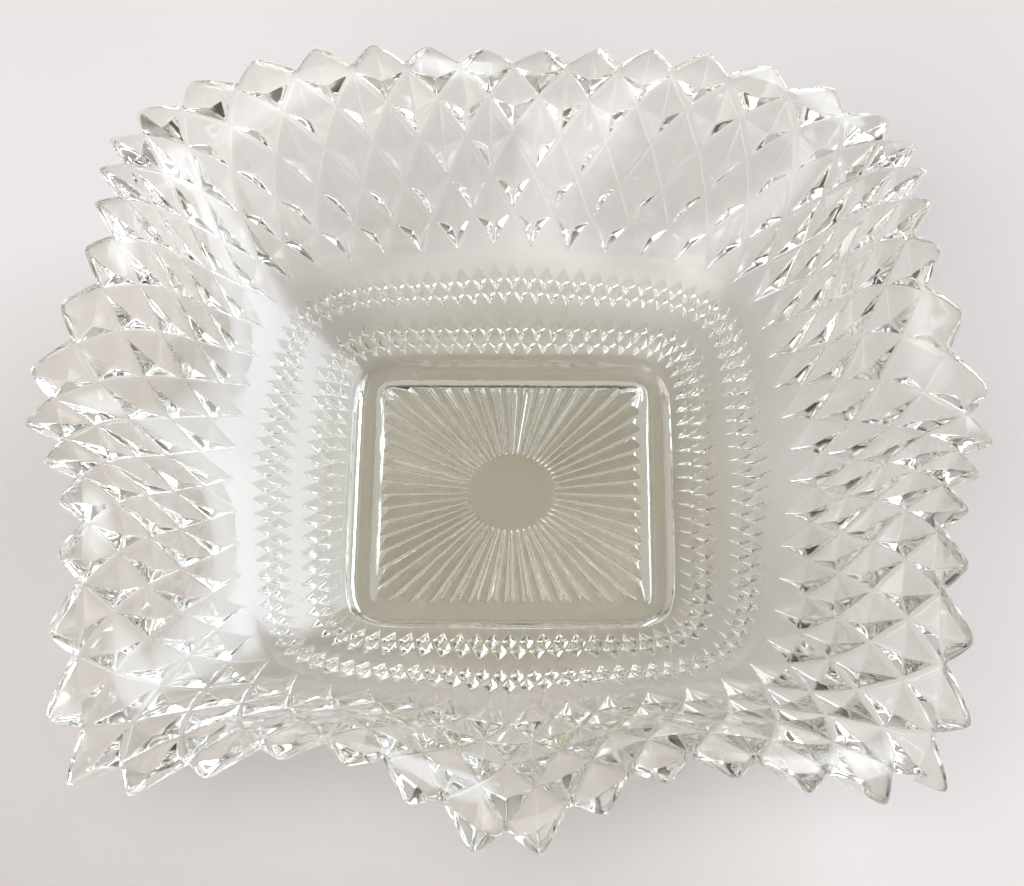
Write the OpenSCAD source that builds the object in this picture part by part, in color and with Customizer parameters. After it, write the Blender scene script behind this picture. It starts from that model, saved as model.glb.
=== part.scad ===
// Square pressed-glass candy dish with a crimped, sawtooth rim.
// The dish is one glass pressing. It is drawn as zones of that pressing that meet face to face:
// plain disc, sunburst panel, foot ring, two bands of small diamonds, the plain strips beside them
// and the diamond-point wall. The inside is smooth and the pattern stands out on the underside.
// Rings are named by h, their half-width across the middle of a side.

/* [Overall] */
// Width of the rim across the middle of two opposite sides, at the reach of its teeth
dish_w = 181; // [170:1:196]
// Height of the underside at the rim, before its crimps are lifted and its lobes hang
rim_z = 30.6; // [28:0.2:34]
// Extra height of the rim at each of its eight crimps
crimp_lift = 10.5; // [6:0.5:11]
// How far each crimp is pulled in, as a part of the radius there
crimp_pull = 0.115; // [0.05:0.005:0.12]
// How far the rim hangs at the lobes between its crimps
lobe_droop = 3.5; // [0:0.5:4]
// How uneven the hand-made crimps and lobes are, from 0 for an even rim
uneven = 1; // [0:0.1:1]

/* [Base] */
// Width of the square sunburst panel
panel_w = 50.8; // [48:0.2:52]
// Diameter of the plain disc in the middle of the sunburst
disc_d = 16; // [12:1:20]
// Outer width of the square foot ring
foot_w = 62; // [60:0.5:62.5]
// Height of the panel's underside above the table
recess = 2.6; // [2:0.1:3]
// Depth from crest to valley of the rays at the panel's edge
ray_depth = 1.5; // [0.4:0.1:1.6]
// How far the rays at the front and the back are set towards the left, in rays
ray_lean = 0.5; // [0:0.1:0.5]
// Thickness of the glass over the panel
floor_t = 4; // [3.4:0.1:4.6]

/* [Bands] */
// Diamonds along each side of the inner band
inner_cols = 21; // [15:1:25]
// Diamonds along each side of the outer band
outer_cols = 26; // [17:1:28]
// Length of each band, from its inner tips to its outer tips
band_len = 8.2; // [7.6:0.1:8.3]
// How far the small diamonds stand out
band_relief = 1.5; // [0.4:0.1:1.6]

/* [Wall] */
// Diamonds along each side of the wall, and rays along each side of the panel
wall_cols = 13; // [9:1:17]
// Half-width at the foot of the diamond-point wall
wall_h = 53.2; // [53:0.1:54]
// How far the large diamonds stand out
wall_relief = 3.2; // [1:0.1:3.4]
// Vertical thickness of the glass in the lower wall
wall_t = 4.6; // [4:0.1:5.2]
// Vertical thickness of the glass at the rim
rim_t = 3; // [2.4:0.1:3.4]

/* [Hidden] */

glass = [0.85, 0.87, 0.83, 0.6];
disc_h = disc_d / 2;
panel_h = panel_w / 2;
foot_h = foot_w / 2;
rim_h = dish_w / 2;
cove_h = 32.6;                    // inner tips of the inner band
collar_h = cove_h + band_len;     // outer tips of the inner band
outer_h = 42.4;                   // inner tips of the outer band
knee_h = 71.5;                    // steepest ring of the wall
wall_rows = 6;                    // half-diamonds from the foot of the wall to the rim
band_rows = 3;                    // half-diamonds across a band
tip_thin = 0.9;                   // how much thinner the glass is at a rim tooth's tip
front = -90;                      // angle of the front side, seen from above
side_turn = 90;                   // angle from one side to the next

// Height and slope of the underside along the middle of a side
cove_z = 3.6;
cove_slope = 0.3;
knee_z = 25.8;
knee_slope = 0.95;
rim_slope = -0.25;

// Section of the base: recessed panel, rounded foot ring, cove
foot_edge = 0.5;                  // width of each step of the foot's rounded edges
foot_round = 0.35;                // height of the lowest of those steps
foot_rings = [panel_h, panel_h + foot_edge, panel_h + 2 * foot_edge, panel_h + 3 * foot_edge,
              foot_h - 2 * foot_edge, foot_h - foot_edge, foot_h];
foot_section = [[0, recess], [foot_rings[0], recess], [foot_rings[1], 3 * foot_round],
                [foot_rings[2], foot_round], [foot_rings[3], 0],
                [foot_rings[4], 0], [foot_rings[5], foot_round], [foot_h, 3 * foot_round],
                [cove_h, cove_z]];

// Inside of the dish: flat floor, then a fillet up to the wall
floor_z = recess + floor_t;
floor_h = 29.5;
fillet_h = 34.5;

// Outline of a ring: how much farther its corners reach than the middle of its sides
corner_reach = [[disc_h, 1], [panel_h, 1.374], [foot_h, 1.305], [wall_h, 1.16], [rim_h, 1.184]];
// Largest turn of a column off its even place, in degrees, so that columns stay evenly spaced
column_turn = [[panel_h, 1.8], [foot_h, 3.4], [wall_h, 2.2], [rim_h, 1.7]];
// The crimps, and the lobes between them, are numbered round from the middle of the right side
eighth = 45;
lift_change = uneven * [4, -0.5, -1, 3, 0.5, -1, -4, -0.5];
pull_change = uneven * [0, -0.005, -0.02, 0.005, 0.005, 0.02, 0, -0.015];
droop_change = uneven * [0, 2.5, -1.5, 0.5, -6, 1.5, 1.5, 2];
wall_pull = [[cove_h, 0], [wall_h, 0.035]];  // pull-in of the crimps below the wall
crimp_power = 1.5;                // more makes the crimps narrower and the lobes rounder
lift_power = 1.6;                 // how late up the wall the crimps start to rise
droop_power = 2;                  // how late up the wall the lobes start to hang

// Cubic curve from a to b through za and zb with slopes sa and sb
function curve(a, b, za, zb, sa, sb, h) =
    let (w = b - a, t = (h - a) / w)
    za * (2 * t ^ 3 - 3 * t ^ 2 + 1) + zb * (3 * t ^ 2 - 2 * t ^ 3)
    + w * sa * (t ^ 3 - 2 * t ^ 2 + t) + w * sb * (t ^ 3 - t ^ 2);

// 0 at the middle of each side and at each corner, 1 at each crimp between them
function crimp(a) = pow(abs(sin(4 * a)), crimp_power);

// Numbers from 0 to 7 of the crimp and of the lobe in direction a
function in_turn(n) = (n % 8 + 8) % 8;
function crimp_number(a) = in_turn(floor(a / eighth));
function lobe_number(a) = in_turn(round(a / eighth));

// 0 at the foot of the wall, 1 at the rim
function flare(h) = max(0, (h - wall_h) / (rim_h - wall_h));

// Radius of ring h in direction a: a rounded square, pulled in at the crimps
function ring_r(h, a) =
    let (n = 1 / (0.5 - ln(lookup(h, corner_reach)) / ln(2)),
         low = lookup(h, wall_pull),
         pull = low + (crimp_pull + pull_change[crimp_number(a)] - low) * flare(h))
    h * pow(pow(abs(cos(a)), n) + pow(abs(sin(a)), n), -1 / n) * (1 - pull * crimp(a));

function side_z(h) = h < knee_h
    ? curve(cove_h, knee_h, cove_z, knee_z, cove_slope, knee_slope, h)
    : curve(knee_h, rim_h, knee_z, rim_z, knee_slope, rim_slope, h);

function under_z(h, a) = h <= cove_h
    ? lookup(h, foot_section)
    : side_z(h)
      + (crimp_lift + lift_change[crimp_number(a)]) * pow(flare(h), lift_power) * crimp(a)
      - (lobe_droop + droop_change[lobe_number(a)]) * pow(flare(h), droop_power) * (1 - crimp(a));

function thickness(h) = wall_t + (rim_t - wall_t) * flare(h);

function inside_z(h, a) = h <= floor_h ? floor_z
    : h < fillet_h
    ? curve(floor_h, fillet_h, floor_z, side_z(fillet_h) + wall_t, 0, cove_slope, h)
    : under_z(h, a) + thickness(h);

// A point is [column angle, h, how far the pattern stands out, how much the inside is lowered]
function direction(p) = p[0] + lookup(p[1], column_turn) * sin(4 * p[0]);

// Where a point is in plan, from the middle of the foot
function plan(p) =
    let (a = direction(p), r = ring_r(p[1], a))
    [r * cos(a), r * sin(a)];

// The origin is the middle of the box around the rim's teeth
rim_tips = [for (j = [0:2:8 * wall_cols - 2]) plan([column(front, wall_cols, j), rim_h])];
middle_x = (min([for (t = rim_tips) t[0]]) + max([for (t = rim_tips) t[0]])) / 2;
middle_y = (min([for (t = rim_tips) t[1]]) + max([for (t = rim_tips) t[1]])) / 2;

function under_point(p) = concat(plan(p) - [middle_x, middle_y], under_z(p[1], direction(p)) - p[2]);

function inside_point(p) = concat(plan(p) - [middle_x, middle_y], inside_z(p[1], direction(p)) - p[3]);

// Whether the seam between two rings steps along ring a next, and not along ring b
function step_a(a, b, i, j, odd) =
    j == len(b) - 1 || (i < len(a) - 1
    && (a[i + 1][0] < b[j + 1][0] || (a[i + 1][0] == b[j + 1][0] && (i + odd) % 2 == 0)));

// Triangles between two rings of points, seen from inside the dish
function seam(a, b, start_a, start_b, count_a, count_b, odd) =
    [for (i = 0, j = 0; i + j < len(a) + len(b) - 2;
          s = step_a(a, b, i, j, odd), i = s ? i + 1 : i, j = s ? j : j + 1)
        step_a(a, b, i, j, odd)
        ? [start_a + i % count_a, start_a + (i + 1) % count_a, start_b + j % count_b]
        : [start_a + i % count_a, start_b + (j + 1) % count_b, start_b + j % count_b]];

// Numbers the first point of each ring
function starts(counts) = [for (i = 0, s = 0; i < len(counts); s = s + counts[i], i = i + 1) s];

// A closed solid between the underside and the inside, over rings of points from the inner one
// outwards. A full ring repeats its first point, 360 degrees on, at its end. Teeth add a last
// ring with a tip over every second point of the ring before it.
module zone(rings, odd = 0, full = false, teeth = false) {
    counts = [for (r = rings) full ? len(r) - 1 : len(r)];
    start = starts(counts);
    last = len(rings) - 1;
    points = [for (k = [0:last]) for (i = [0:counts[k] - 1]) rings[k][i]];
    total = len(points);
    seams = [for (k = [0:1:teeth ? last - 2 : last - 1])
        each seam(rings[k], rings[k + 1], start[k], start[k + 1], counts[k], counts[k + 1], odd + k)];
    tips = [for (i = [0:1:teeth ? counts[last] - 1 : -1])
        let (foot = start[last - 1] + 2 * i, tip = start[last] + i)
        each [[foot, foot + 1, tip], [foot + 1, foot + 2, tip]]];
    inside = concat(seams, tips);
    outer_edge = teeth
        ? [for (i = [0:counts[last] - 1]) each [start[last - 1] + 2 * i, start[last] + i],
           start[last] - 1]
        : [for (i = [0:len(rings[last]) - 1]) start[last] + i % counts[last]];
    inner_edge = [for (i = [0:len(rings[0]) - 1]) i % counts[0]];
    ends = teeth ? last - 1 : last;
    first_edge = [for (k = [0:ends]) start[k]];
    last_edge = [for (k = [0:ends]) start[k] + counts[k] - 1];
    color(glass)
        polyhedron(
            points = concat([for (p = points) under_point(p)], [for (p = points) inside_point(p)]),
            faces = concat(
                [for (t = inside) [t[2], t[1], t[0]]],
                [for (t = inside) [t[0] + total, t[1] + total, t[2] + total]],
                skirt(outer_edge, total),
                skirt(reverse(inner_edge), total),
                full ? [] : skirt(first_edge, total),
                full ? [] : skirt(reverse(last_edge), total)),
            convexity = 10);
}

function reverse(list) = [for (i = [len(list) - 1:-1:0]) list[i]];

// Upright faces from the underside to the inside along an edge
function skirt(edge, total) = [for (i = [0:len(edge) - 2])
    [edge[i], edge[i] + total, edge[i + 1] + total, edge[i + 1]]];

// Angle of half-column j of the side that starts at the corner before angle middle
function column(middle, cols, j) = middle - side_turn / 2 + j * side_turn / (2 * cols);

// One ring of half-columns from j0 to j1, with crests where j + row is odd
function lattice_ring(middle, cols, j0, j1, h, row, relief) =
    [for (j = [j0:j1]) [column(middle, cols, j), h, abs(j + row) % 2 * relief, 0]];

// A plain full ring
function plain_ring(cols, h) = lattice_ring(front, cols, 0, 8 * cols, h, 0, 0);

module band(middle, cols, h) {
    rings = [for (k = [0:band_rows])
        lattice_ring(middle, cols, 0, 2 * cols, h + band_len * k / band_rows, band_rows - k,
                     k == 0 || k == band_rows ? 0 : band_relief)];
    zone(rings);
}

// First split of a side into its lobe and its corners, at a notch between two rim teeth
split = 2 * floor(wall_cols / 4) + 1;

module wall(middle, j0, j1) {
    rings = [for (k = [0:wall_rows - 1])
        lattice_ring(middle, wall_cols, j0, j1, wall_h + (rim_h - wall_h) * k / wall_rows, k,
                     k == 0 ? 0 : wall_relief)];
    tips = [for (j = [j0 + 1:2:j1]) [column(middle, wall_cols, j), rim_h, 0, tip_thin]];
    zone(concat(rings, [tips]), odd = abs(j0) + 1, teeth = true);
}

module wall_side(middle) {
    wall(middle, split, 2 * wall_cols - split);
}

module wall_corner(middle) {
    wall(middle, -split, split);
}

module base_disc() {
    outline = [for (p = plain_ring(wall_cols, disc_h)) under_point(p)];
    color(glass)
        translate([0, 0, recess])
            linear_extrude(floor_t)
                polygon([for (i = [0:len(outline) - 2]) [outline[i][0], outline[i][1]]]);
}

// Angle of the rib or groove that would be at angle a if the rays were evenly spaced
function ray_angle(a) = a + ray_lean * side_turn / wall_cols * sin(a);

// Edge of the sunburst, where ribs and grooves alternate
rays = [for (j = [0:8 * wall_cols])
    [ray_angle(column(front, wall_cols, j)), panel_h, (j % 2 - 0.5) * ray_depth, 0]];

module sunburst_panel() {
    zone([plain_ring(wall_cols, disc_h), rays], full = true);
}

module foot_ring() {
    zone(concat([rays], [for (k = [1:len(foot_rings) - 1]) plain_ring(wall_cols, foot_rings[k])]),
         full = true);
}

module cove_ring() {
    zone([plain_ring(wall_cols, foot_h), plain_ring(inner_cols, cove_h)], full = true);
}

module inner_collar() {
    zone([plain_ring(inner_cols, collar_h), plain_ring(outer_cols, outer_h)], full = true);
}

module outer_collar() {
    zone([plain_ring(outer_cols, outer_h + band_len), plain_ring(wall_cols, wall_h)], full = true);
}

module inner_band_front() { band(front, inner_cols, cove_h); }
module inner_band_right() { band(front + side_turn, inner_cols, cove_h); }
module inner_band_back() { band(front + 2 * side_turn, inner_cols, cove_h); }
module inner_band_left() { band(front + 3 * side_turn, inner_cols, cove_h); }

module outer_band_front() { band(front, outer_cols, outer_h); }
module outer_band_right() { band(front + side_turn, outer_cols, outer_h); }
module outer_band_back() { band(front + 2 * side_turn, outer_cols, outer_h); }
module outer_band_left() { band(front + 3 * side_turn, outer_cols, outer_h); }

module wall_front() { wall_side(front); }
module wall_right() { wall_side(front + side_turn); }
module wall_back() { wall_side(front + 2 * side_turn); }
module wall_left() { wall_side(front + 3 * side_turn); }

module wall_front_left() { wall_corner(front); }
module wall_front_right() { wall_corner(front + side_turn); }
module wall_back_right() { wall_corner(front + 2 * side_turn); }
module wall_back_left() { wall_corner(front + 3 * side_turn); }

base_disc();
sunburst_panel();
foot_ring();
cove_ring();
inner_collar();
outer_collar();
inner_band_front();
inner_band_right();
inner_band_back();
inner_band_left();
outer_band_front();
outer_band_right();
outer_band_back();
outer_band_left();
wall_front();
wall_right();
wall_back();
wall_left();
wall_front_left();
wall_front_right();
wall_back_right();
wall_back_left();
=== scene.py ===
"""Square pressed-glass candy dish: crimped sawtooth rim, diamond-point wall, sunburst base."""

import math

import bpy
import numpy as np
from mathutils import Matrix, Vector


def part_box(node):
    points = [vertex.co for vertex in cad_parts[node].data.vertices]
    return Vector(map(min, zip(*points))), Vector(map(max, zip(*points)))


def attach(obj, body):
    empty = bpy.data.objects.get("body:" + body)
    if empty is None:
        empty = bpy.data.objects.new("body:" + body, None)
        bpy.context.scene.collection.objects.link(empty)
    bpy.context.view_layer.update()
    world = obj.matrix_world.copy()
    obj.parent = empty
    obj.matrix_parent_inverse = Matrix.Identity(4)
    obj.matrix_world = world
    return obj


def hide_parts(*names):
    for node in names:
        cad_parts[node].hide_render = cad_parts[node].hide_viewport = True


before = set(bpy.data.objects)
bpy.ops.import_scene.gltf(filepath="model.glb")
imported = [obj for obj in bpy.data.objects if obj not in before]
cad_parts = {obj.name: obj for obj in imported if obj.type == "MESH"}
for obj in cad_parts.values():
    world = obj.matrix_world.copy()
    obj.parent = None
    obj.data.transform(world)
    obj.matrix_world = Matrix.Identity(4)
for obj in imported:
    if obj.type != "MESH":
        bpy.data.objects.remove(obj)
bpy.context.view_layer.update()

mm = 0.001
FRONT = -90.0  # direction of the front side, in degrees
SIDE_TURN = 90.0  # from one side to the next

# ---------------------------------------------------------------- sizes, from the frame


def half_width(node):
    """Half-width of a full ring across the middle of a side."""
    low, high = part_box(node)
    return 0.5 * (high[0] - low[0])


def front_reach(node):
    """How far a node reaches towards the front from the middle of the foot."""
    return axis[1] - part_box(node)[0][1]


disc_low, disc_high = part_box("base_disc")
axis = [0.5 * (disc_low[k] + disc_high[k]) for k in (0, 1)]  # the middle of the foot
recess, floor_z = disc_low[2], disc_high[2]
disc_h = half_width("base_disc")
panel_h = half_width("sunburst_panel")
foot_h = half_width("foot_ring")
cove_h = half_width("cove_ring")
collar_h = front_reach("inner_band_front")
outer_h = half_width("inner_collar")
outer_end_h = front_reach("outer_band_front")
wall_h = half_width("outer_collar")

rim_h = 90.5 * mm  # half-width of the ring that the rim's teeth reach
knee_h = 71.5 * mm  # steepest ring of the wall
floor_h = 29.5 * mm  # edge of the flat floor inside
fillet_h = 34.5 * mm  # where the fillet from the floor meets the wall

inner_cols, outer_cols, wall_cols = 21, 26, 13  # diamonds along each side
wall_rows, band_rows = 6, 3  # half-diamonds up the wall, and across a band
split = 2 * (wall_cols // 4) + 1  # half-column where a side's lobe meets its corner

wall_relief, band_relief = 3.2 * mm, 1.5 * mm  # how far large and small diamonds stand out
pillow = 0.15  # how much steeper a diamond's faces are beside the valleys
band_ridge, band_valley = 0.08, 0.04  # how soft the small diamonds' ridges and valleys are
wall_t, rim_t = 4.6 * mm, 3.0 * mm  # thickness of the glass in the lower wall and at the rim
tip_thin = 0.9 * mm  # how much thinner the glass is at a tooth's tip
# The rim is crimped by hand, so its eight crimps and eight lobes differ. They are listed
# anticlockwise, seen from above, from the middle of the right side.
crimp_lift = mm * np.array([14.5, 10, 9.5, 13.5, 11, 9.5, 6.5, 10])
crimp_pull = np.array([0.115, 0.11, 0.095, 0.12, 0.12, 0.135, 0.115, 0.1])
lobe_droop = mm * np.array([3.5, 6, 2, 4, -2.5, 5, 5, 5.5])
wall_pull = 0.035  # pull-in of all the crimps at the foot of the wall
# More makes the crimps narrower, and keeps the lift and the droop nearer the rim
crimp_power, lift_power, droop_power = 1.5, 1.6, 2
# Height and slope of the underside along the middle of a side
cove_z, cove_slope = 3.6 * mm, 0.3
knee_z, knee_slope = 25.8 * mm, 0.95
rim_z, rim_slope = 30.6 * mm, -0.25

turn_rings = [panel_h, foot_h, wall_h, rim_h]
column_turn = [1.8, 3.4, 2.2, 1.7]  # largest turn of a column off its even place, in degrees
reach_rings = [disc_h] + turn_rings
corner_reach = [1, 1.374, 1.305, 1.16, 1.184]  # how much farther corners reach than sides

rays, ray_depth = 52, 1.5 * mm
ray_lean = 0.5  # how far the rays at the front and the back are set to the left, in rays
ray_power = 1.7  # more makes the ribs broader and the grooves sharper
ray_start = 1.2 * mm  # length of the ends of the rays, at the disc
bevel_h0, bevel_h1 = 23.4 * mm, 26.9 * mm  # slope between the sunburst and the foot ring

FRACTIONS = (0, 0.04, 0.12, 0.3, 0.5, 0.7, 0.88, 0.96)  # grid lines in a large diamond's half
BAND_FRACTIONS = (0, 0.08, 0.28, 0.5, 0.72, 0.92)  # grid lines in a small diamond's half
# Grid lines from the row where the teeth start to their edge, closer towards the edge
EDGE_LINES = (0.05, 0.15, 0.3, 0.48, 0.62, 0.72, 0.8, 0.863, 0.915, 0.955, 0.985, 1)
# Grid lines across the sunburst, closer by the disc, and across the foot ring
PANEL_LINES = np.concatenate([np.linspace(0, 0.09, 6), np.linspace(0.14, 1, 20)])
FOOT_LINES = np.concatenate([np.linspace(0, 0.6, 19), np.linspace(0.64, 1, 12)])
around = 8 * wall_cols  # half-columns all the way round
RAY_STEPS, PLAIN_STEPS = 6, 3  # grid lines to a half-column, on the rays and on plain rings

tooth_row = wall_rows - 1  # row where the teeth start
# From that row to the notches, and on to the tips, in rows and before they are rounded
notch_past, tooth_length = 0.06, 0.98
edge_round = 0.24  # width of the rim's rounded edge, in rows

# ---------------------------------------------------------------- shape of the glass


def curve(a, b, za, zb, sa, sb, h):
    """Cubic from (a, za) to (b, zb) with end slopes sa and sb."""
    w = b - a
    t = (h - a) / w
    low = za * (2 * t**3 - 3 * t**2 + 1) + w * sa * (t**3 - 2 * t**2 + t)
    return low + zb * (3 * t**2 - 2 * t**3) + w * sb * (t**3 - t**2)


def crimp(a):
    """0 at the middle of each side and at each corner, 1 at each crimp between them."""
    return np.abs(np.sin(4 * a)) ** crimp_power


def flare(h):
    """0 at the foot of the wall, 1 at the rim."""
    return np.maximum(0, (h - wall_h) / (rim_h - wall_h))


def crimp_number(a):
    """Number of the crimp in direction a, from the middle of the right side round."""
    return (np.floor(a / (math.pi / 4)) % 8).astype(int)


def lobe_number(a):
    """Number of the lobe in direction a, from the middle of the right side round."""
    return (np.round(a / (math.pi / 4)) % 8).astype(int)


def ring_r(h, a):
    """Radius of ring h in direction a: a rounded square, pulled in at the crimps."""
    reach = np.interp(h, reach_rings, corner_reach)
    n = 1 / (0.5 - np.log2(reach))
    pull = np.interp(h, [cove_h, wall_h], [0, wall_pull])
    pull = pull + (crimp_pull[crimp_number(a)] - wall_pull) * flare(h)
    square = (np.abs(np.cos(a)) ** n + np.abs(np.sin(a)) ** n) ** (-1 / n)
    return h * square * (1 - pull * crimp(a))


def rounded(points, turns=3):
    """Cuts the corners of an open outline again and again, so that it turns smoothly."""
    p = np.array(points, float)
    for _ in range(turns):
        q = [p[0]]
        for a, b in zip(p[:-1], p[1:]):
            q += [0.75 * a + 0.25 * b, 0.25 * a + 0.75 * b]
        p = np.array(q + [p[-1]])
    return p


# Slope down from the sunburst, flat underside, rounded outer edge and cove
foot_section = rounded(
    [
        (bevel_h0, recess + 0.5 * ray_depth + 0.05 * mm),
        (bevel_h1, 0.1 * mm),
        (28.4 * mm, 0.0),
        (foot_h - 1.3 * mm, 0.0),
        (foot_h + 0.9 * mm, 3.0 * mm),
        (cove_h, cove_z),
    ]
)


def side_z(h):
    """Height of the underside along the middle of a side, outside the cove."""
    low = curve(cove_h, knee_h, cove_z, knee_z, cove_slope, knee_slope, h)
    up = curve(knee_h, rim_h, knee_z, rim_z, knee_slope, rim_slope, h)
    return np.where(h < knee_h, low, up)


def under_z(h, a):
    """Height of the underside without its diamonds, from the foot ring's slope outwards."""
    base = np.interp(h, foot_section[:, 0], foot_section[:, 1], left=foot_section[0, 1])
    wall = side_z(h) + crimp_lift[crimp_number(a)] * flare(h) ** lift_power * crimp(a)
    wall = wall - lobe_droop[lobe_number(a)] * flare(h) ** droop_power * (1 - crimp(a))
    return np.where(h <= cove_h, base, wall)


def inside_z(h, a):
    """Height of the inside: flat floor, fillet, then the thickness of the glass over the wall."""
    thick = wall_t + (rim_t - wall_t) * flare(h)
    fillet = curve(floor_h, fillet_h, floor_z, float(side_z(fillet_h)) + wall_t, 0, cove_slope, h)
    wall = under_z(np.maximum(h, fillet_h), a) + thick
    return np.where(h <= floor_h, floor_z, np.where(h < fillet_h, fillet, wall))


def turned(u, h):
    """Columns turned a little towards the corners, so that they stay evenly spaced."""
    turn = np.interp(h, turn_rings, column_turn)
    return u + np.radians(turn) * np.sin(4 * u)


# ---------------------------------------------------------------- the moulded patterns


def soft_max(a, b, soft):
    """The larger of a and b, rounded where they are about equal."""
    return 0.5 * (a + b + np.sqrt((a - b) ** 2 + soft**2))


def diamonds(j, row, rows, ridge=0.06, valley=0.06):
    """0 in the valleys and about 1 on the points of the diamonds from the first row to the last."""
    p, q = (j + row) / 2, (j - row) / 2
    centre_row = np.floor(p + 1e-9) - np.floor(q + 1e-9)
    s = np.abs(2 * (p % 1) - 1)
    t = np.abs(2 * (q % 1) - 1)
    height = np.maximum(0, 1 - soft_max(s, t, ridge))
    height = np.sqrt(height**2 + valley**2) - valley
    return np.where((centre_row >= 1) & (centre_row <= rows - 1), height, 0)


def pillowed(height):
    """Rounds the diamonds' faces, so that they are steepest beside the valleys."""
    return height * (1 + pillow - pillow * height)


def teeth(j):
    """Outline of the teeth: 0 in the notches and 1 at the tips, but for their rounding."""
    d = np.abs((np.asarray(j) + 1) % 2 - 1)
    tip, notch = 0.2, 0.1
    v = np.where(d < tip, 1 - (d**2 + tip**2) / (2 * tip), 1 - d)
    return np.where(1 - d < notch, ((1 - d) ** 2 + notch**2) / (2 * notch), v)


# ---------------------------------------------------------------- zones as meshes

GLASS, CUT = 0, 1  # material slots


def cell_lines(first, last, fractions):
    """Grid lines at the same places in each cell from the first to the last."""
    return np.array([k + f for k in range(first, last) for f in fractions] + [last], float)


def unit(n):
    """Vectors of the same direction and of length 1."""
    return n / np.maximum(1e-15, np.linalg.norm(n, axis=-1, keepdims=True))


def surface_normals(shape, J, R):
    """Normals of the underside and of the inside, from points a little way off along the grid."""
    e = 0.01  # in the units of J and R
    plus_j, minus_j = shape(J + e, R), shape(J - e, R)
    plus_r, minus_r = shape(J, R + e), shape(J, R - e)
    low, up = (np.cross(plus_j[k] - minus_j[k], plus_r[k] - minus_r[k]) for k in (0, 1))
    return unit(low), unit(-up)


def grid_faces(ids, way):
    """Two triangles for each cell of a grid. way says which of its diagonals parts them."""
    a, b, c, d = ids[:-1, :-1], ids[1:, :-1], ids[1:, 1:], ids[:-1, 1:]
    one = np.where(way, np.stack([a, b, c], -1), np.stack([a, b, d], -1)).reshape(-1, 3)
    two = np.where(way, np.stack([a, c, d], -1), np.stack([b, c, d], -1)).reshape(-1, 3)
    return np.concatenate([one, two])


def cut_faces(low, up):
    """Upright faces between an edge of the underside and the same edge of the inside."""
    a, b, c, d = low[:-1], low[1:], up[1:], up[:-1]
    return np.concatenate([np.stack([a, d, c], -1), np.stack([a, c, b], -1)])


def zone(node, columns, rows, shape, along, full=False, closed=False, centred=False):
    """Makes a node's piece: underside and inside grids, closed by cut faces where glass goes on.

    shape(J, R) gives the underside's and the inside's points. along(J, R) says which way a cell's
    diagonal runs. A full zone goes all the way round. A closed zone's two grids meet in its last
    row. A centred zone's first row is one point.
    """
    J, R = np.meshgrid(columns, rows, indexing="ij")
    low, up = shape(J, R)
    low_normals, up_normals = surface_normals(shape, J, R)
    low_ids = np.arange(J.size).reshape(J.shape)
    if full:
        low_ids[-1] = low_ids[0]
    if centred:
        low_ids[:, 0] = low_ids[0, 0]
        low_normals[:, 0] = (0, 0, -1)
        up_normals[:, 0] = (0, 0, 1)
    up_ids = low_ids + J.size
    if closed:
        # On the edge itself the glass is round, so its normal points straight outwards
        low_normals[:, -1] = unit(low_normals[:, -1] + up_normals[:, -1])
        up_ids[:, -1] = low_ids[:, -1]

    way = along(0.5 * (J[:-1, :-1] + J[1:, :-1]), 0.5 * (R[:-1, :-1] + R[:-1, 1:]))[..., None]
    skin = [grid_faces(low_ids, way), grid_faces(up_ids, way)[:, ::-1]]
    cuts = []
    if not closed:
        cuts.append(cut_faces(low_ids[::-1, -1], up_ids[::-1, -1]))
    if not centred:
        cuts.append(cut_faces(low_ids[:, 0], up_ids[:, 0]))
    if not full:
        cuts.append(cut_faces(low_ids[0, ::-1], up_ids[0, ::-1]))
        cuts.append(cut_faces(low_ids[-1], up_ids[-1]))
    marks = np.repeat([GLASS, CUT], [sum(map(len, skin)), sum(map(len, cuts))])
    verts = np.concatenate([low.reshape(-1, 3), up.reshape(-1, 3)])
    norms = np.concatenate([low_normals.reshape(-1, 3), up_normals.reshape(-1, 3)])
    make_piece(node, verts, np.concatenate(skin + cuts), marks, norms)


def make_piece(node, verts, faces, marks, norms):
    """Makes the mesh that stands for a node, without the faces and points that have no use."""
    a, b, c = faces.T
    keep = (a != b) & (b != c) & (c != a)
    faces, marks = faces[keep], marks[keep]
    used, faces = np.unique(faces, return_inverse=True)
    faces = faces.reshape(-1, 3)
    verts, norms = verts[used], norms[used]
    mesh = bpy.data.meshes.new("glass_" + node)
    mesh.from_pydata(verts.tolist(), [], faces.tolist())
    mesh.polygons.foreach_set("material_index", marks.astype(np.int32))
    mesh.materials.append(glass_material)
    mesh.materials.append(cut_material)
    mesh.shade_smooth()
    mesh.update()
    mesh.normals_split_custom_set_from_vertices(norms.tolist())
    obj = bpy.data.objects.new("glass_" + node, mesh)
    bpy.context.scene.collection.objects.link(obj)
    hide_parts(node)
    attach(obj, "root")


def placed(u, h, under, inside):
    """Points of the underside and of the inside, for columns at angles u and rings h."""
    a = turned(u, h)
    r = ring_r(h, a)
    x, y = axis[0] + r * np.cos(a), axis[1] + r * np.sin(a)
    return np.stack([x, y, under(h, a)], -1), np.stack([x, y, inside(h, a)], -1)


def column(middle, cols, j):
    """Angle of half-column j of the side that starts at the corner before angle middle."""
    return np.radians(middle - SIDE_TURN / 2 + j * SIDE_TURN / (2 * cols))


def valley_way(j, row, phase):
    """Whether a cell's valley runs from its first corner to the one across."""
    return (np.floor(j) + np.floor(row) + phase) % 2 == 0


def one_way(j, row):
    """Every cell's diagonal runs the same way."""
    return np.zeros(np.shape(j), bool)


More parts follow.
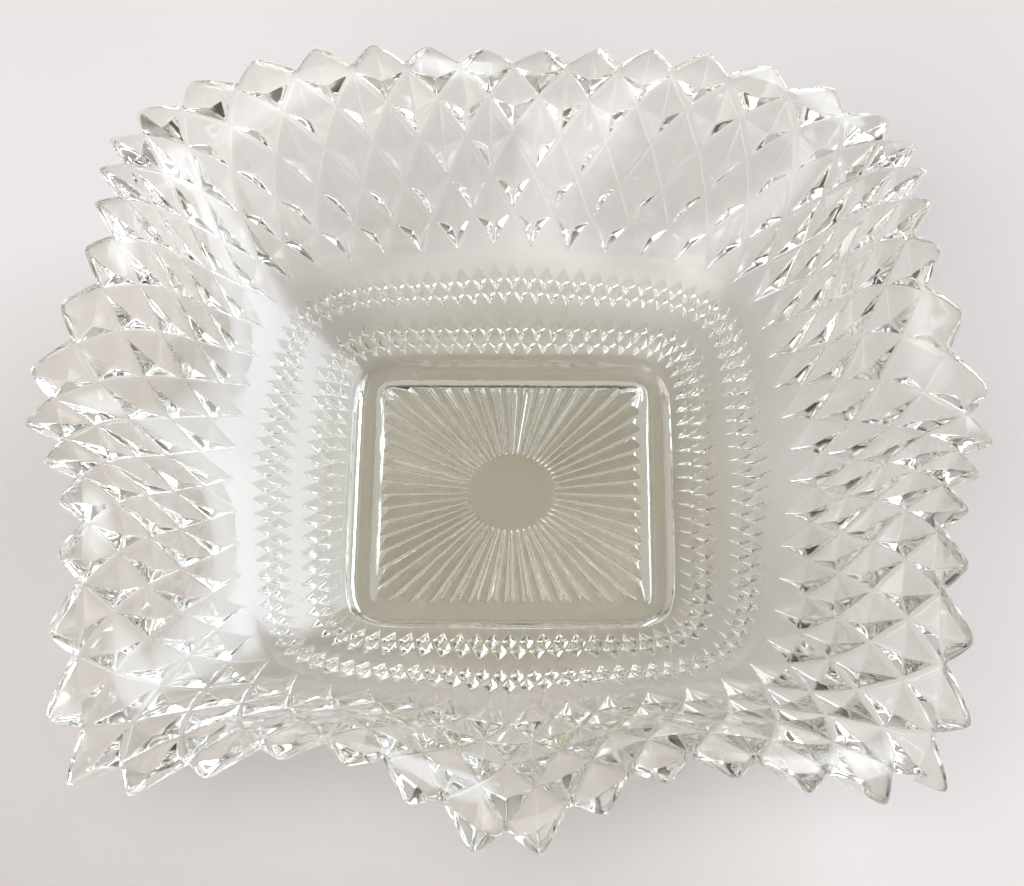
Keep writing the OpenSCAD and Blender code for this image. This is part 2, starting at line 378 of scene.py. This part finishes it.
def make_band(node, middle, cols, h0, h1):
    """One side of a band of small diamonds, between rings h0 and h1."""

    def shape(j, row):
        h = h0 + (h1 - h0) * row / band_rows
        height = diamonds(j, band_rows - row, band_rows, band_ridge, band_valley)
        lift = band_relief * pillowed(height)
        return placed(column(middle, cols, j), h, lambda h, a: under_z(h, a) - lift, inside_z)

    columns = cell_lines(0, 2 * cols, BAND_FRACTIONS)
    rows = cell_lines(0, band_rows, BAND_FRACTIONS)
    zone(node, columns, rows, shape, lambda j, row: valley_way(j, row, band_rows))


def make_wall(node, middle, j0, j1):
    """Half-columns j0 to j1 of the diamond-point wall, out to the rim's rounded teeth."""
    step = (rim_h - wall_h) / wall_rows

    def shape(j, line):
        edge = tooth_row + notch_past + tooth_length * teeth(j)
        past = np.clip(line - tooth_row, 0, 1)
        row = np.where(line <= tooth_row, line, tooth_row + past * (edge - tooth_row))
        h = wall_h + step * row
        lift = wall_relief * pillowed(diamonds(j, row, wall_rows))
        near = np.clip((edge - row) / edge_round, 0, 1)
        bulge = np.sqrt(1 - (1 - near) ** 2)
        thin = tip_thin * np.clip(row - tooth_row, 0, 1)
        low, up = placed(
            column(middle, wall_cols, j),
            h,
            lambda h, a: under_z(h, a) - lift,
            lambda h, a: inside_z(h, a) - thin,
        )
        mid = 0.5 * (low[..., 2] + up[..., 2])
        low[..., 2] = mid + (low[..., 2] - mid) * bulge
        up[..., 2] = mid + (up[..., 2] - mid) * bulge
        return low, up

    columns = cell_lines(j0, j1, FRACTIONS)
    rows = np.concatenate([cell_lines(0, tooth_row, FRACTIONS), tooth_row + np.array(EDGE_LINES)])

    def along(j, row):
        return np.where(row < tooth_row, valley_way(j, row, 0), valley_way(j, 0 * row, 1))

    zone(node, columns, rows, shape, along, closed=True)


def ray_wave(u):
    """0 on the ribs of the sunburst and 1 in the grooves between them, in direction u."""
    phase = rays * u / (2 * math.pi) - ray_lean * np.sin(u) + 0.5
    return (2 * np.abs(phase % 1 - 0.5)) ** ray_power


def sun_z(h, u):
    """Height of the sunburst's rays, which are deeper towards its edge."""
    start = np.clip((h - disc_h) / ray_start, 0, 1)
    return recess + ray_depth * start * h / bevel_h1 * (ray_wave(u) - 0.5)


def make_panel_and_foot():
    """The sunburst and the foot ring, which meet along a scalloped edge."""

    def panel_shape(j, line):
        u = column(FRONT, wall_cols, j)
        h = disc_h + (bevel_edge(u) - disc_h) * np.clip(line, 0, 1)
        h = h + np.maximum(0, line - 1) * mm  # goes on past the edge, for the normals there
        return placed(u, h, lambda h, a: sun_z(h, u), inside_z)

    columns = np.linspace(0, around, around * RAY_STEPS + 1)
    zone("sunburst_panel", columns, PANEL_LINES, panel_shape, one_way, full=True)

    def foot_shape(j, line):
        u = column(FRONT, wall_cols, j)
        h0 = bevel_edge(u)
        h = h0 + (foot_h - h0) * line
        return placed(u, h, under_z, inside_z)

    zone("foot_ring", columns, FOOT_LINES, foot_shape, one_way, full=True)


def bevel_edge(u):
    """Where the sunburst's surface meets the slope up from the foot ring, in direction u."""
    h = np.full(np.shape(u), 0.5 * (bevel_h0 + bevel_h1))
    lo, hi = np.full_like(h, bevel_h0), np.full_like(h, bevel_h1)
    for _ in range(20):
        h = 0.5 * (lo + hi)
        above = under_z(h, 0 * h) > sun_z(h, u)
        lo, hi = np.where(above, h, lo), np.where(above, hi, h)
    return h


plain_columns = np.arange(around * PLAIN_STEPS + 1.0)


def plain_angle(j):
    """Angle of column j of a plain ring."""
    return column(FRONT, wall_cols * PLAIN_STEPS, j)


def make_plain(node, h0, h1, count):
    """A full ring without a pattern, between rings h0 and h1."""

    def shape(j, line):
        return placed(plain_angle(j), h0 + (h1 - h0) * line, under_z, inside_z)

    zone(node, plain_columns, np.linspace(0, 1, count), shape, one_way, full=True)


def make_disc():
    """The plain middle of the base, closed over its centre."""

    def shape(j, line):
        return placed(plain_angle(j), disc_h * line, lambda h, a: recess + 0 * h, inside_z)

    zone("base_disc", plain_columns, np.linspace(0, 1, 7), shape, one_way, full=True, centred=True)


# ---------------------------------------------------------------- materials

# Tint of the glass over the base and in the wall
THICK_GLASS, THIN_GLASS = (0.925, 0.905, 0.785), (0.979, 0.971, 0.925)
# Distances from the middle at which the first tint starts to give way and the second takes over
thick_reach, thin_reach = 20 * mm, 70 * mm
DARK_TABLE, LIGHT_TABLE = (0.72, 0.675, 0.662), (0.77, 0.73, 0.725)


def node_material(name):
    """An empty node material, with its nodes and links."""
    material = bpy.data.materials.new(name)
    material.use_nodes = True
    tree = material.node_tree
    tree.nodes.clear()
    return material, tree.nodes, tree.links


def noise(nodes, links, coords, scale, detail):
    """Smooth uneven values from 0 to 1, fixed to the object."""
    texture = nodes.new("ShaderNodeTexNoise")
    texture.inputs["Scale"].default_value = scale
    texture.inputs["Detail"].default_value = detail
    links.new(coords.outputs["Object"], texture.inputs["Vector"])
    return texture.outputs["Fac"]


def ramp(nodes, links, factor, first, second, low=0, high=1):
    """Fades from the first colour to the second as the factor goes from low to high."""
    fade = nodes.new("ShaderNodeValToRGB")
    for element, place, colour in zip(fade.color_ramp.elements, (low, high), (first, second)):
        element.position = place
        element.color = (*colour, 1)
    links.new(factor, fade.inputs["Fac"])
    return fade.outputs["Color"]


def thinness(nodes, links, coords):
    """0 over the thick base and 1 in the thin wall, by distance from the middle of the dish."""
    reach = nodes.new("ShaderNodeVectorMath")
    reach.operation = "LENGTH"
    links.new(coords.outputs["Object"], reach.inputs[0])
    fade = nodes.new("ShaderNodeMapRange")
    fade.interpolation_type = "SMOOTHSTEP"
    fade.inputs["From Min"].default_value = thick_reach
    fade.inputs["From Max"].default_value = thin_reach
    links.new(reach.outputs["Value"], fade.inputs["Value"])
    return fade.outputs["Result"]


def make_glass():
    """Clear fire-polished glass with a faint uneven warm tint, stronger over the base."""
    material, nodes, links = node_material("clear_pressed_glass")
    out = nodes.new("ShaderNodeOutputMaterial")
    glass = nodes.new("ShaderNodeBsdfPrincipled")
    glass.inputs["Transmission Weight"].default_value = 1.0
    glass.inputs["IOR"].default_value = 1.5
    links.new(glass.outputs[0], out.inputs["Surface"])
    coords = nodes.new("ShaderNodeTexCoord")

    tint = nodes.new("ShaderNodeMath")
    tint.operation = "MULTIPLY_ADD"
    tint.inputs[1].default_value = 0.25
    links.new(noise(nodes, links, coords, 28, 3), tint.inputs[0])
    links.new(thinness(nodes, links, coords), tint.inputs[2])
    colour = ramp(nodes, links, tint.outputs["Value"], THICK_GLASS, THIN_GLASS, 0.1, 1.1 / 1.2)
    links.new(colour, glass.inputs["Base Color"])

    rough = nodes.new("ShaderNodeMapRange")
    rough.inputs["From Min"].default_value = 0.4
    rough.inputs["From Max"].default_value = 0.75
    rough.inputs["To Min"].default_value = 0.0
    rough.inputs["To Max"].default_value = 0.03
    links.new(noise(nodes, links, coords, 60, 4), rough.inputs["Value"])
    links.new(rough.outputs["Result"], glass.inputs["Roughness"])

    waves = nodes.new("ShaderNodeBump")
    waves.inputs["Strength"].default_value = 0.3
    waves.inputs["Distance"].default_value = 0.3 * mm
    links.new(noise(nodes, links, coords, 90, 2), waves.inputs["Height"])
    links.new(waves.outputs["Normal"], glass.inputs["Normal"])
    return material


def make_cut():
    """Where one zone of the glass meets the next there is no surface, so light goes straight on."""
    material, nodes, links = node_material("inside_the_glass")
    out = nodes.new("ShaderNodeOutputMaterial")
    clear = nodes.new("ShaderNodeBsdfTransparent")
    links.new(clear.outputs[0], out.inputs["Surface"])
    return material


def make_floor_material():
    """Pale table top, a little cloudy."""
    material, nodes, links = node_material("pale_table")
    out = nodes.new("ShaderNodeOutputMaterial")
    paint = nodes.new("ShaderNodeBsdfPrincipled")
    paint.inputs["Roughness"].default_value = 0.7
    paint.inputs["Specular IOR Level"].default_value = 0.2
    links.new(paint.outputs[0], out.inputs["Surface"])
    coords = nodes.new("ShaderNodeTexCoord")
    colour = ramp(nodes, links, noise(nodes, links, coords, 9, 6), DARK_TABLE, LIGHT_TABLE)
    links.new(colour, paint.inputs["Base Color"])
    return material


glass_material = make_glass()
cut_material = make_cut()

# ---------------------------------------------------------------- camera

elevation, azimuth, roll = math.radians(55.8), math.radians(0.93), math.radians(-0.56)
distance, lens = 0.5438, 101.36  # in metres and in millimetres
target = Vector((axis[0] + 0.26 * mm, axis[1] + 0.94 * mm, 19.6 * mm))


def make_camera():
    """Looks down on the dish from the front."""
    towards = Vector(
        (
            math.sin(azimuth) * math.cos(elevation),
            -math.cos(azimuth) * math.cos(elevation),
            math.sin(elevation),
        )
    )
    right = (-towards).cross(Vector((0, 0, 1))).normalized()
    up = right.cross(-towards)
    cam_right = math.cos(roll) * right + math.sin(roll) * up
    cam_up = -math.sin(roll) * right + math.cos(roll) * up
    camera = bpy.data.objects.new("camera", bpy.data.cameras.new("camera"))
    camera.data.lens = lens
    camera.data.sensor_width = 36
    camera.data.sensor_fit = "HORIZONTAL"
    camera.matrix_world = Matrix.Translation(target + distance * towards) @ Matrix(
        (cam_right, cam_up, towards)
    ).transposed().to_4x4()
    bpy.context.scene.collection.objects.link(camera)
    bpy.context.scene.camera = camera


make_camera()

# ---------------------------------------------------------------- the glass

make_disc()
make_panel_and_foot()
make_plain("cove_ring", foot_h, cove_h, 5)
make_plain("inner_collar", collar_h, outer_h, 3)
make_plain("outer_collar", outer_end_h, wall_h, 3)
sides = ("front", "right", "back", "left")
corners = ("front_left", "front_right", "back_right", "back_left")
for number, (side, corner) in enumerate(zip(sides, corners)):
    middle = FRONT + number * SIDE_TURN
    make_band("inner_band_" + side, middle, inner_cols, cove_h, collar_h)
    make_band("outer_band_" + side, middle, outer_cols, outer_h, outer_end_h)
    make_wall("wall_" + side, middle, split, 2 * wall_cols - split)
    make_wall("wall_" + corner, middle, -split, split)

# ---------------------------------------------------------------- floor and light

bpy.ops.mesh.primitive_plane_add(size=6)
floor = bpy.context.object
floor.name = "floor"
floor.data.materials.append(make_floor_material())


def make_world():
    """A dim pale room, with a broad soft light at the front left and a window at the back right."""
    world = bpy.data.worlds.new("room")
    world.use_nodes = True
    nodes, links = world.node_tree.nodes, world.node_tree.links
    coords = nodes.new("ShaderNodeTexCoord")

    def facing(direction, low, high):
        """Fades from 0 to 1 around a direction, between two cosines of the angle from it."""
        dot = nodes.new("ShaderNodeVectorMath")
        dot.operation = "DOT_PRODUCT"
        links.new(coords.outputs["Generated"], dot.inputs[0])
        dot.inputs[1].default_value = Vector(direction).normalized()
        fade = nodes.new("ShaderNodeMapRange")
        fade.interpolation_type = "SMOOTHSTEP"
        fade.inputs["From Min"].default_value = low
        fade.inputs["From Max"].default_value = high
        links.new(dot.outputs["Value"], fade.inputs["Value"])
        return fade.outputs["Result"]

    def mixed(factor, first, second):
        """Mixes two colours, each of them a tuple or an output."""
        mix = nodes.new("ShaderNodeMix")
        mix.data_type = "RGBA"
        links.new(factor, mix.inputs["Factor"])
        for socket, value in zip(mix.inputs[6:8], (first, second)):  # the two colour sockets
            if isinstance(value, tuple):
                socket.default_value = (*value, 1)
            else:
                links.new(value, socket)
        return mix.outputs[2]

    # Pale ceiling, fading to dark at table level
    sky = mixed(facing((0, 0, 1), 0.1, 0.95), (0.05, 0.045, 0.035), (0.42, 0.41, 0.4))
    # Wall of the room at the right
    sky = mixed(facing((1, 0.1, 0.1), 0.3, 1.0), sky, (0.16, 0.14, 0.09))
    # Broad soft light at the front left
    sky = mixed(facing((-0.3, -0.78, 0.55), 0.55, 0.95), sky, (3.1, 3.03, 2.98))
    # Dim at table level on the left
    sky = mixed(facing((-1, 0, 0.12), 0.6, 0.95), sky, (0.05, 0.045, 0.03))
    # Dim patch that the inside of the back wall mirrors
    sky = mixed(facing((0.1, -1, 0.8), 0.84, 0.965), sky, (0.12, 0.11, 0.11))
    # Window at the back right that the inside of the left wall mirrors
    sky = mixed(facing((0.65, 0.55, 0.52), 0.88, 0.975), sky, (3.5, 3.85, 4.2))
    links.new(sky, nodes["Background"].inputs["Color"])
    nodes["Background"].inputs["Strength"].default_value = 1.33
    bpy.context.scene.world = world


make_world()

# Glass seen through glass needs many bounces
cycles = bpy.context.scene.cycles
cycles.max_bounces = 24
cycles.transmission_bounces = 24
cycles.glossy_bounces = 12
cycles.diffuse_bounces = 4
cycles.transparent_max_bounces = 64
cycles.caustics_reflective = True
cycles.caustics_refractive = True
cycles.blur_glossy = 1.0
bpy.context.scene.view_settings.view_transform = "Standard"
